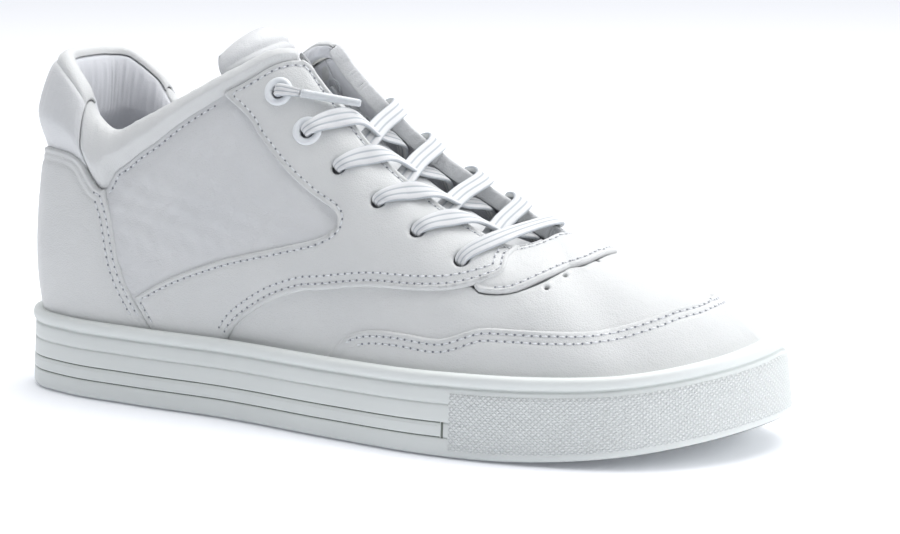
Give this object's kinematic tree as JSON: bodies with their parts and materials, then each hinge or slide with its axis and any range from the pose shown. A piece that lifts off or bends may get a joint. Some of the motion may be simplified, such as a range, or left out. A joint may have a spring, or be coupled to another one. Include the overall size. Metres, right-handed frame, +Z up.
{
  "type": "basketball high top shoe",
  "caption": "Right laced high top with a rubber cup sole, overlapping leather panels, padded collar and a padded tongue that leans back.",
  "frame": {"origin": "centre of the footprint's box, on the ground", "axes": "+X towards the toe, +Y towards the inner (medial) side of the foot, +Z up"},
  "size_m": [0.3036, 0.1126, 0.1395],
  "materials": {
    "leather": "satin",
    "lining": "matte",
    "rubber": "matte",
    "foam": "matte",
    "board": "matte",
    "ring_plastic": "satin",
    "aglet_plastic": "gloss",
    "lace_cotton": "matte"
  },
  "bodies": {
    "shoe": {"toe_bumper": "rubber", "heel_patch": "rubber", "sidewall_stripe_lateral": "rubber", "sidewall_stripe_medial": "rubber", "cupsole": "rubber", "midsole_foam": "foam", "insole_board": "board", "rear_quarter_lateral": "leather", "eyestay_backing_lateral": "leather", "quarter_lateral": "leather", "rear_quarter_medial": "leather", "eyestay_backing_medial": "leather", "quarter_medial": "leather", "vamp": "leather", "throat_saddle": "leather", "mudguard": "leather", "heel_counter": "leather", "toe_puff": "board", "heel_stiffener": "board", "quarter_lining": "lining", "vamp_lining": "lining", "collar_cover_heel": "leather", "collar_binding": "leather", "collar_cover_lateral": "leather", "collar_cover_medial": "leather", "collar_lining": "lining", "collar_foam": "foam", "eyelet_ring_lateral_1": "ring_plastic", "eyelet_ring_lateral_2": "ring_plastic", "eyelet_ring_medial_1": "ring_plastic", "eyelet_ring_medial_2": "ring_plastic", "lace": "lace_cotton"},
    "tongue": {"tongue_cover": "leather", "tongue_foam": "foam", "tongue_lining": "lining"},
    "sockliner": {"sockliner": "foam"},
    "lace_end_lateral": {"lace_tail_lateral": "lace_cotton", "aglet_lateral": "aglet_plastic"},
    "lace_end_medial": {"lace_tail_medial": "lace_cotton", "aglet_medial": "aglet_plastic"}
  },
  "joints": [
    {"name": "tongue_lean", "type": "hinge", "parent": "shoe", "child": "tongue", "pos_m": [0.0745, 0, 0.0615], "axis": [0, -1, 0], "range_deg": [0, 8]},
    {"name": "sockliner_lift", "type": "hinge", "parent": "shoe", "child": "sockliner", "pos_m": [0.139, 0, 0.026], "axis": [0, 1, 0], "range_deg": [0, 4]},
    {"name": "lace_end_swing_lateral", "type": "hinge", "parent": "shoe", "child": "lace_end_lateral", "pos_m": [-0.0315, -0.02096, 0.11823], "axis": [0.19, -0.9142, 0.3581], "range_deg": [0, 30]},
    {"name": "lace_end_swing_medial", "type": "hinge", "parent": "shoe", "child": "lace_end_medial", "pos_m": [-0.03147, 0.02138, 0.11819], "axis": [0.2155, 0.9045, 0.368], "range_deg": [-30, 30]}
  ]
}
